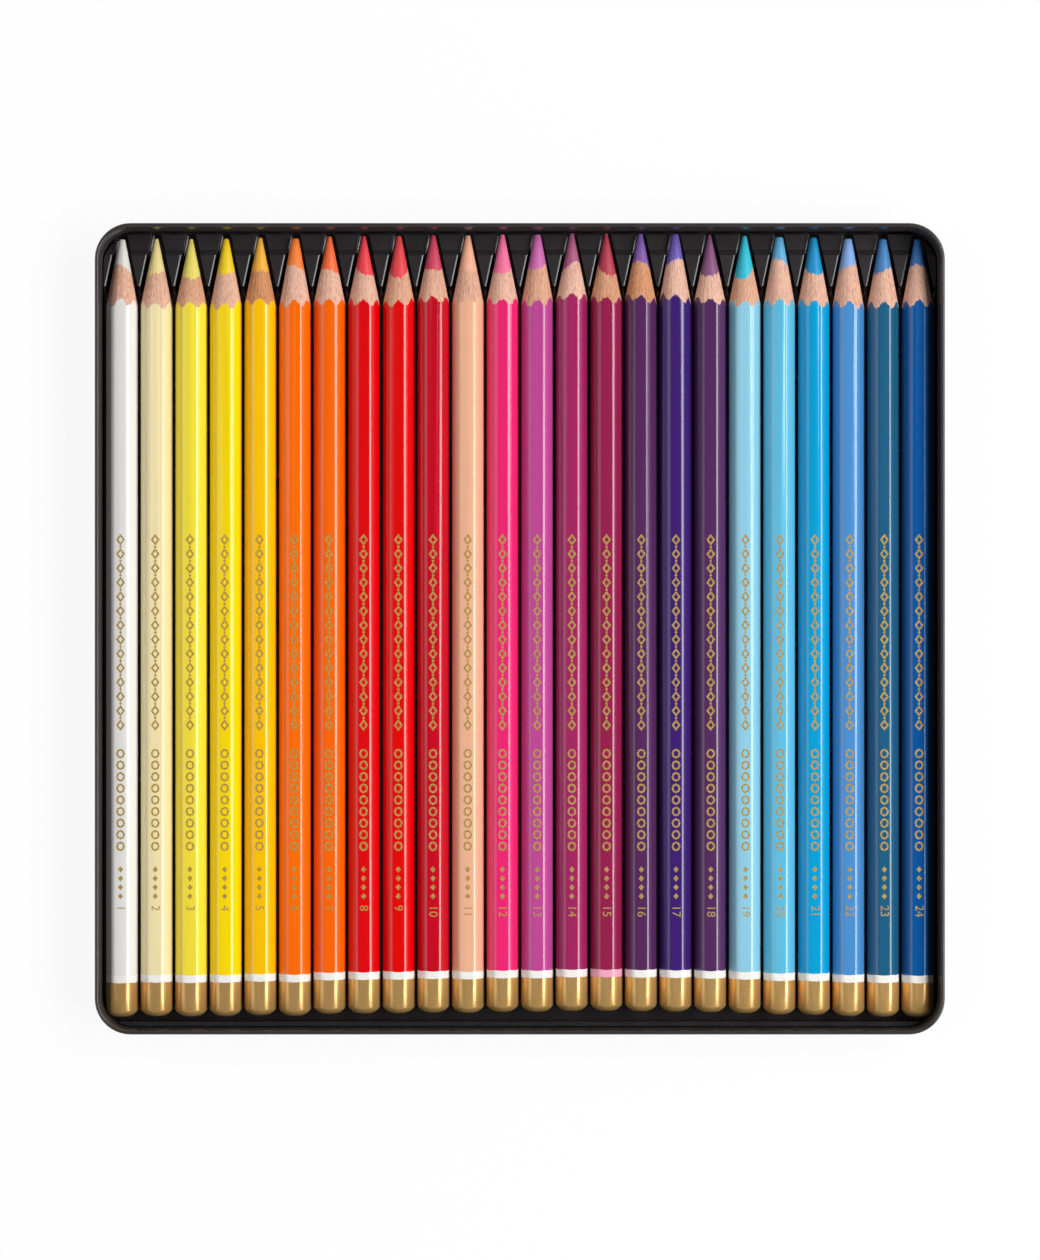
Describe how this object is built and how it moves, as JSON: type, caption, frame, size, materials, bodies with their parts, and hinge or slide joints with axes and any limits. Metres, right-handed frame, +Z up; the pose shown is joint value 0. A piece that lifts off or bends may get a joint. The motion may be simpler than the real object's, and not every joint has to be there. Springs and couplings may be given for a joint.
{
  "type": "colored pencil box",
  "caption": "Shallow black tin tray with a formed plastic insert holding a row of sharpened hexagonal colored pencils with gold dipped ends, each lifting out of its well.",
  "frame": {"origin": "middle of the tray's underside", "axes": "+X across the row of pencils, +Y along the pencils towards their points, +Z up out of the tray"},
  "size_m": [0.1898, 0.1812, 0.012],
  "materials": {
    "tin_enamel": "black baked enamel on tinplate, satin gloss",
    "insert_plastic": "black vacuum-formed polystyrene sheet",
    "lacquer_01": "glossy coloured lacquer over cedar",
    "pigment_01": "waxy pigment core, satin",
    "lacquer_02": "glossy coloured lacquer over cedar",
    "pigment_02": "waxy pigment core, satin",
    "lacquer_03": "glossy coloured lacquer over cedar",
    "pigment_03": "waxy pigment core, satin",
    "lacquer_04": "glossy coloured lacquer over cedar",
    "pigment_04": "waxy pigment core, satin",
    "lacquer_05": "glossy coloured lacquer over cedar",
    "pigment_05": "waxy pigment core, satin",
    "lacquer_06": "glossy coloured lacquer over cedar",
    "pigment_06": "waxy pigment core, satin",
    "lacquer_07": "glossy coloured lacquer over cedar",
    "pigment_07": "waxy pigment core, satin",
    "lacquer_08": "glossy coloured lacquer over cedar",
    "pigment_08": "waxy pigment core, satin",
    "lacquer_09": "glossy coloured lacquer over cedar",
    "pigment_09": "waxy pigment core, satin",
    "lacquer_10": "glossy coloured lacquer over cedar",
    "pigment_10": "waxy pigment core, satin",
    "lacquer_11": "glossy coloured lacquer over cedar",
    "pigment_11": "waxy pigment core, satin",
    "lacquer_12": "glossy coloured lacquer over cedar",
    "pigment_12": "waxy pigment core, satin",
    "lacquer_13": "glossy coloured lacquer over cedar",
    "pigment_13": "waxy pigment core, satin",
    "lacquer_14": "glossy coloured lacquer over cedar",
    "pigment_14": "waxy pigment core, satin",
    "lacquer_15": "glossy coloured lacquer over cedar",
    "pigment_15": "waxy pigment core, satin",
    "lacquer_16": "glossy coloured lacquer over cedar",
    "pigment_16": "waxy pigment core, satin",
    "lacquer_17": "glossy coloured lacquer over cedar",
    "pigment_17": "waxy pigment core, satin",
    "lacquer_18": "glossy coloured lacquer over cedar",
    "pigment_18": "waxy pigment core, satin",
    "lacquer_19": "glossy coloured lacquer over cedar",
    "pigment_19": "waxy pigment core, satin",
    "lacquer_20": "glossy coloured lacquer over cedar",
    "pigment_20": "waxy pigment core, satin",
    "lacquer_21": "glossy coloured lacquer over cedar",
    "pigment_21": "waxy pigment core, satin",
    "lacquer_22": "glossy coloured lacquer over cedar",
    "pigment_22": "waxy pigment core, satin",
    "lacquer_23": "glossy coloured lacquer over cedar",
    "pigment_23": "waxy pigment core, satin",
    "lacquer_24": "glossy coloured lacquer over cedar",
    "pigment_24": "waxy pigment core, satin"
  },
  "bodies": {
    "tin": {"tin_tray": "tin_enamel"},
    "insert": {"insert_tray": "insert_plastic"},
    "pencil_01": {"pencil_01_casing": "lacquer_01", "pencil_01_core": "pigment_01"},
    "pencil_02": {"pencil_02_casing": "lacquer_02", "pencil_02_core": "pigment_02"},
    "pencil_03": {"pencil_03_casing": "lacquer_03", "pencil_03_core": "pigment_03"},
    "pencil_04": {"pencil_04_casing": "lacquer_04", "pencil_04_core": "pigment_04"},
    "pencil_05": {"pencil_05_casing": "lacquer_05", "pencil_05_core": "pigment_05"},
    "pencil_06": {"pencil_06_casing": "lacquer_06", "pencil_06_core": "pigment_06"},
    "pencil_07": {"pencil_07_casing": "lacquer_07", "pencil_07_core": "pigment_07"},
    "pencil_08": {"pencil_08_casing": "lacquer_08", "pencil_08_core": "pigment_08"},
    "pencil_09": {"pencil_09_casing": "lacquer_09", "pencil_09_core": "pigment_09"},
    "pencil_10": {"pencil_10_casing": "lacquer_10", "pencil_10_core": "pigment_10"},
    "pencil_11": {"pencil_11_casing": "lacquer_11", "pencil_11_core": "pigment_11"},
    "pencil_12": {"pencil_12_casing": "lacquer_12", "pencil_12_core": "pigment_12"},
    "pencil_13": {"pencil_13_casing": "lacquer_13", "pencil_13_core": "pigment_13"},
    "pencil_14": {"pencil_14_casing": "lacquer_14", "pencil_14_core": "pigment_14"},
    "pencil_15": {"pencil_15_casing": "lacquer_15", "pencil_15_core": "pigment_15"},
    "pencil_16": {"pencil_16_casing": "lacquer_16", "pencil_16_core": "pigment_16"},
    "pencil_17": {"pencil_17_casing": "lacquer_17", "pencil_17_core": "pigment_17"},
    "pencil_18": {"pencil_18_casing": "lacquer_18", "pencil_18_core": "pigment_18"},
    "pencil_19": {"pencil_19_casing": "lacquer_19", "pencil_19_core": "pigment_19"},
    "pencil_20": {"pencil_20_casing": "lacquer_20", "pencil_20_core": "pigment_20"},
    "pencil_21": {"pencil_21_casing": "lacquer_21", "pencil_21_core": "pigment_21"},
    "pencil_22": {"pencil_22_casing": "lacquer_22", "pencil_22_core": "pigment_22"},
    "pencil_23": {"pencil_23_casing": "lacquer_23", "pencil_23_core": "pigment_23"},
    "pencil_24": {"pencil_24_casing": "lacquer_24", "pencil_24_core": "pigment_24"}
  },
  "joints": [
    {"name": "insert_lift", "type": "slide", "parent": "tin", "child": "insert", "axis": [0, 0, 1], "range_m": [0, 0.03]},
    {"name": "pencil_01_lift", "type": "slide", "parent": "insert", "child": "pencil_01", "axis": [0, 0, 1], "range_m": [0, 0.04]},
    {"name": "pencil_02_lift", "type": "slide", "parent": "insert", "child": "pencil_02", "axis": [0, 0, 1], "range_m": [0, 0.04]},
    {"name": "pencil_03_lift", "type": "slide", "parent": "insert", "child": "pencil_03", "axis": [0, 0, 1], "range_m": [0, 0.04]},
    {"name": "pencil_04_lift", "type": "slide", "parent": "insert", "child": "pencil_04", "axis": [0, 0, 1], "range_m": [0, 0.04]},
    {"name": "pencil_05_lift", "type": "slide", "parent": "insert", "child": "pencil_05", "axis": [0, 0, 1], "range_m": [0, 0.04]},
    {"name": "pencil_06_lift", "type": "slide", "parent": "insert", "child": "pencil_06", "axis": [0, 0, 1], "range_m": [0, 0.04]},
    {"name": "pencil_07_lift", "type": "slide", "parent": "insert", "child": "pencil_07", "axis": [0, 0, 1], "range_m": [0, 0.04]},
    {"name": "pencil_08_lift", "type": "slide", "parent": "insert", "child": "pencil_08", "axis": [0, 0, 1], "range_m": [0, 0.04]},
    {"name": "pencil_09_lift", "type": "slide", "parent": "insert", "child": "pencil_09", "axis": [0, 0, 1], "range_m": [0, 0.04]},
    {"name": "pencil_10_lift", "type": "slide", "parent": "insert", "child": "pencil_10", "axis": [0, 0, 1], "range_m": [0, 0.04]},
    {"name": "pencil_11_lift", "type": "slide", "parent": "insert", "child": "pencil_11", "axis": [0, 0, 1], "range_m": [0, 0.04]},
    {"name": "pencil_12_lift", "type": "slide", "parent": "insert", "child": "pencil_12", "axis": [0, 0, 1], "range_m": [0, 0.04]},
    {"name": "pencil_13_lift", "type": "slide", "parent": "insert", "child": "pencil_13", "axis": [0, 0, 1], "range_m": [0, 0.04]},
    {"name": "pencil_14_lift", "type": "slide", "parent": "insert", "child": "pencil_14", "axis": [0, 0, 1], "range_m": [0, 0.04]},
    {"name": "pencil_15_lift", "type": "slide", "parent": "insert", "child": "pencil_15", "axis": [0, 0, 1], "range_m": [0, 0.04]},
    {"name": "pencil_16_lift", "type": "slide", "parent": "insert", "child": "pencil_16", "axis": [0, 0, 1], "range_m": [0, 0.04]},
    {"name": "pencil_17_lift", "type": "slide", "parent": "insert", "child": "pencil_17", "axis": [0, 0, 1], "range_m": [0, 0.04]},
    {"name": "pencil_18_lift", "type": "slide", "parent": "insert", "child": "pencil_18", "axis": [0, 0, 1], "range_m": [0, 0.04]},
    {"name": "pencil_19_lift", "type": "slide", "parent": "insert", "child": "pencil_19", "axis": [0, 0, 1], "range_m": [0, 0.04]},
    {"name": "pencil_20_lift", "type": "slide", "parent": "insert", "child": "pencil_20", "axis": [0, 0, 1], "range_m": [0, 0.04]},
    {"name": "pencil_21_lift", "type": "slide", "parent": "insert", "child": "pencil_21", "axis": [0, 0, 1], "range_m": [0, 0.04]},
    {"name": "pencil_22_lift", "type": "slide", "parent": "insert", "child": "pencil_22", "axis": [0, 0, 1], "range_m": [0, 0.04]},
    {"name": "pencil_23_lift", "type": "slide", "parent": "insert", "child": "pencil_23", "axis": [0, 0, 1], "range_m": [0, 0.04]},
    {"name": "pencil_24_lift", "type": "slide", "parent": "insert", "child": "pencil_24", "axis": [0, 0, 1], "range_m": [0, 0.04]}
  ]
}
